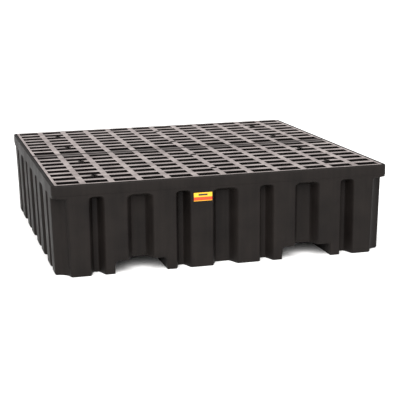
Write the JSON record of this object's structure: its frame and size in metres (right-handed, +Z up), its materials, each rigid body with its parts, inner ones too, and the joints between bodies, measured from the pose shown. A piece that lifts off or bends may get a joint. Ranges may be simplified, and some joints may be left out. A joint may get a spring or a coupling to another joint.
{
  "type": "spill containment pallet",
  "caption": "Low square pallet with a moulded sump under lift-off grates, fluted walls and two fork tunnels, for holding drums over spilled liquid.",
  "frame": {"origin": "middle of the base's footprint, on the floor", "axes": "+X along the front towards the right, +Y from the front towards the rear, +Z up"},
  "size_m": [1.308, 1.308, 0.349],
  "materials": {
    "base_polyethylene": "semi-matte, faint moulded texture",
    "grate_polyethylene": "matte, scuffed on the walking surface",
    "column_polyethylene": "matte",
    "label_film": "printed film, plain marks with no lettering"
  },
  "bodies": {
    "base": {"base_left_pan": "base_polyethylene", "base_inner_left_pan": "base_polyethylene", "base_middle_pan": "base_polyethylene", "base_inner_right_pan": "base_polyethylene", "base_right_pan": "base_polyethylene", "base_left_tunnel_roof": "base_polyethylene", "base_right_tunnel_roof": "base_polyethylene", "base_front_wall": "base_polyethylene", "base_rear_wall": "base_polyethylene", "base_left_wall": "base_polyethylene", "base_right_wall": "base_polyethylene", "column_front_1": "column_polyethylene", "column_front_2": "column_polyethylene", "column_front_3": "column_polyethylene", "column_front_4": "column_polyethylene", "column_front_5": "column_polyethylene", "column_front_6": "column_polyethylene", "column_rear_1": "column_polyethylene", "column_rear_2": "column_polyethylene", "column_rear_3": "column_polyethylene", "column_rear_4": "column_polyethylene", "column_rear_5": "column_polyethylene", "column_rear_6": "column_polyethylene", "label": "label_film"},
    "front_grate": {"front_grate": "grate_polyethylene"},
    "rear_grate": {"rear_grate": "grate_polyethylene"}
  },
  "joints": [
    {"name": "front_grate_lift", "type": "slide", "parent": "base", "child": "front_grate", "axis": [0, 0, 1], "range_m": [0, 0.4]},
    {"name": "rear_grate_lift", "type": "slide", "parent": "base", "child": "rear_grate", "axis": [0, 0, 1], "range_m": [0, 0.4]}
  ]
}
